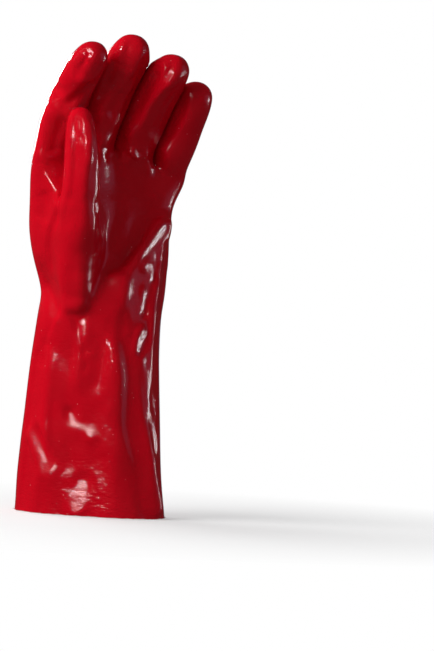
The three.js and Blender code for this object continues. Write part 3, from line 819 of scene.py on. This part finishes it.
# %% Make it glossy
COAT_IOR = 1.5
gloss = ramp(nodes, links, noise(nodes, links, place, scale=60, detail=3),
             [(0.3, 0.08), (0.75, 0.15)])
links.new(gloss, shader.inputs["Roughness"])
shader.inputs["IOR"].default_value = COAT_IOR
wander = bump(nodes, links, noise(nodes, links, place, scale=45, detail=2),
              strength=0.25, distance=0.004)

# %% Let the knit show through
STITCH_SHAPE = (0.4, 0.4, 1)
courses = nodes.new("ShaderNodeMapping")
courses.inputs["Scale"].default_value = STITCH_SHAPE
links.new(place, courses.inputs["Vector"])
stitches = courses.outputs["Vector"]
grain = noise(nodes, links, stitches, scale=480, detail=4, roughness=0.65)
knit = bump(nodes, links, grain, strength=0.34, distance=0.0008, normal=wander)

height = nodes.new("ShaderNodeSeparateXYZ")
links.new(place, height.inputs["Vector"])
near_cut = ramp(nodes, links, height.outputs["Z"], [(0.0, 1.0), (0.07, 0.0)])
coarse = product(nodes, links, noise(nodes, links, stitches, scale=260, detail=3), near_cut)
rim_grain = bump(nodes, links, coarse, strength=0.3, distance=0.0012, normal=knit)
links.new(rim_grain, shader.inputs["Normal"])
glove.data.materials[COAT_SLOT] = coat
print("coat:", len(nodes), "nodes")


# %% [markdown]
# ## The lining and the cut edge
# Inside, the glove is the bare knit, a pale pink where the red has soaked through. The cut edge is
# red coat and pale yarn side by side, so it is mottled between both, and so are the ends of yarn.
# Neither shines.

# %% Mix the lining and the cut edge
def matt_material(name, scale, stops, roughness):
    """A material without gloss, whose colour wanders between its stops."""
    material, nodes, links, shader = new_material(name)
    place = on_object(nodes)
    mottle = ramp(nodes, links, noise(nodes, links, place, scale, detail=3), stops)
    links.new(mottle, shader.inputs["Base Color"])
    shader.inputs["Roughness"].default_value = roughness
    return material, nodes, links, shader, place


lining, nodes, links, shader, place = matt_material(
    "knit_lining", 500, [(0.3, (0.62, 0.42, 0.38)), (0.7, (0.80, 0.68, 0.62))], 0.95)
loops = bump(nodes, links, noise(nodes, links, place, scale=700, detail=3),
             strength=0.6, distance=0.0008)
links.new(loops, shader.inputs["Normal"])
glove.data.materials[LINING_SLOT] = lining

edge = matt_material(
    "cut_edge", 900, [(0.35, (0.50, 0.02, 0.03)), (0.65, (0.75, 0.40, 0.40))], 0.8)[0]
glove.data.materials[EDGE_SLOT] = edge
fibres.data.materials.append(edge)
print("glove's materials:", [material.name for material in glove.data.materials])

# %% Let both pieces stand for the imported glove
for piece in (glove, fibres):
    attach(piece, "root")
    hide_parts("glove")


# %% [markdown]
# ## The floor
# The glove stands on a white ground that runs out into a white picture, with only a soft shadow
# beside it. A round floor takes the shadow and fades into plain white light further out. It is kept
# out of the coat's reflections and of the light that falls on the coat, because the photograph has
# no white in them from below.

# %% Lay the floor
FLOOR_RADIUS = 9
UNDER_THE_CUFF = 0.0002
FADE = (0.7, 0.7, 0.7)
bpy.ops.mesh.primitive_circle_add(vertices=96, radius=FLOOR_RADIUS, fill_type="NGON",
                                  location=(0, 0, -UNDER_THE_CUFF))
floor = bpy.context.object
floor.name = "floor"
ground, nodes, links, shader = new_material("floor")
shader.inputs["Base Color"].default_value = (0.9, 0.9, 0.9, 1)
shader.inputs["Roughness"].default_value = 0.9
far = nodes.new("ShaderNodeTexGradient")
far.gradient_type = "SPHERICAL"
reach = nodes.new("ShaderNodeMapping")
reach.inputs["Scale"].default_value = FADE
links.new(on_object(nodes), reach.inputs["Vector"])
links.new(reach.outputs["Vector"], far.inputs["Vector"])
fade = ramp(nodes, links, far.outputs["Fac"], [(0.72, 1.0), (0.9, 0.35)])
glow = nodes.new("ShaderNodeEmission")
blend = nodes.new("ShaderNodeMixShader")
links.new(fade, blend.inputs["Fac"])
links.new(shader.outputs["BSDF"], blend.inputs[1])
links.new(glow.outputs["Emission"], blend.inputs[2])
links.new(blend.outputs["Shader"], nodes["Material Output"].inputs["Surface"])
floor.data.materials.append(ground)
floor.visible_glossy = False
floor.visible_diffuse = False


# %% [markdown]
# ## The lights
# The photograph has a broad soft light from the left, and in the wet coat a small bright window and
# a long strip at the right. No one lamp gives both that softness and those small highlights, so the
# work is shared out. The key lights the coat and leaves no highlight. The window and the strip
# leave only their highlights, on the facets that were pressed to face them, and a large dim violet
# panel gives the side that is turned away its sheen. The back has a key, a window and a panel of
# its own, so that it can be looked at too.

# %% Hang the lights
VIOLET = (0.8, 0.6, 1.0)
LIT_POINT = Vector((0, 0, 0.17))


def softbox(name, azimuth, height, distance, width, tall, power, seen=True, lights=True,
            tint=(1, 1, 1)):
    """An area light; azimuth 0 is behind the camera and 90 to the right of the picture.

    One that isn't seen leaves no highlight, and one that doesn't light leaves only its highlight.
    """
    data = bpy.data.lights.new(name, "AREA")
    data.shape = "RECTANGLE"
    data.size, data.size_y = width, tall
    data.energy = power
    data.color = tint
    light = bpy.data.objects.new(name, data)
    bpy.context.scene.collection.objects.link(light)
    angle = math.radians(azimuth)
    light.location = Vector((math.sin(angle) * distance, -math.cos(angle) * distance, height))
    light.rotation_mode = "QUATERNION"
    light.rotation_quaternion = (LIT_POINT - light.location).to_track_quat("-Z", "Y")
    light.visible_glossy = seen
    light.visible_diffuse = lights


softbox("key", -55, 0.8, 1.2, 1.0, 1.0, 19, seen=False)
softbox("window", -28, 0.62, 1.3, 0.13, 0.15, 5.5, lights=False)
softbox("strip", 104, 0.1, 1.2, 0.08, 0.22, 2.0, lights=False)
softbox("dim panel", 92, 0.2, 1.4, 1.1, 0.9, 0.9, lights=False, tint=VIOLET)
softbox("back key", 232, 0.9, 1.2, 1.0, 1.0, 11, seen=False)
softbox("back window", 208, 0.5, 1.3, 0.22, 0.3, 5, lights=False)
softbox("back panel", 178, 0.4, 1.4, 0.9, 0.9, 0.5, lights=False, tint=VIOLET)


# %% [markdown]
# ## The surround
# A plain white room would be mirrored all over the wet coat and turn it pink. So the world is white
# to the camera, weaker as the light that fills the shadows, and nearly black in reflections.

# %% Light the world
IN_THE_PICTURE = 1.0
AS_FILL = 0.29
IN_REFLECTIONS = 0.025

world = bpy.data.worlds.new("studio")
bpy.context.scene.world = world
world.use_nodes = True
nodes, links = world.node_tree.nodes, world.node_tree.links
path = nodes.new("ShaderNodeLightPath")


def surround(strength, ray, otherwise):
    """The world's white, this strong for one kind of ray; other rays get the other shader."""
    white = nodes.new("ShaderNodeBackground")
    white.inputs["Color"].default_value = (1, 1, 1, 1)
    white.inputs["Strength"].default_value = strength
    choose = nodes.new("ShaderNodeMixShader")
    links.new(path.outputs[ray], choose.inputs["Fac"])
    links.new(otherwise, choose.inputs[1])
    links.new(white.outputs["Background"], choose.inputs[2])
    return choose.outputs["Shader"]


dim = nodes["Background"]
dim.inputs["Color"].default_value = (1, 1, 1, 1)
dim.inputs["Strength"].default_value = IN_REFLECTIONS
filled = surround(AS_FILL, "Is Diffuse Ray", dim.outputs["Background"])
shown = surround(IN_THE_PICTURE, "Is Camera Ray", filled)
links.new(shown, nodes["World Output"].inputs["Surface"])
bpy.context.scene.view_settings.view_transform = "Standard"
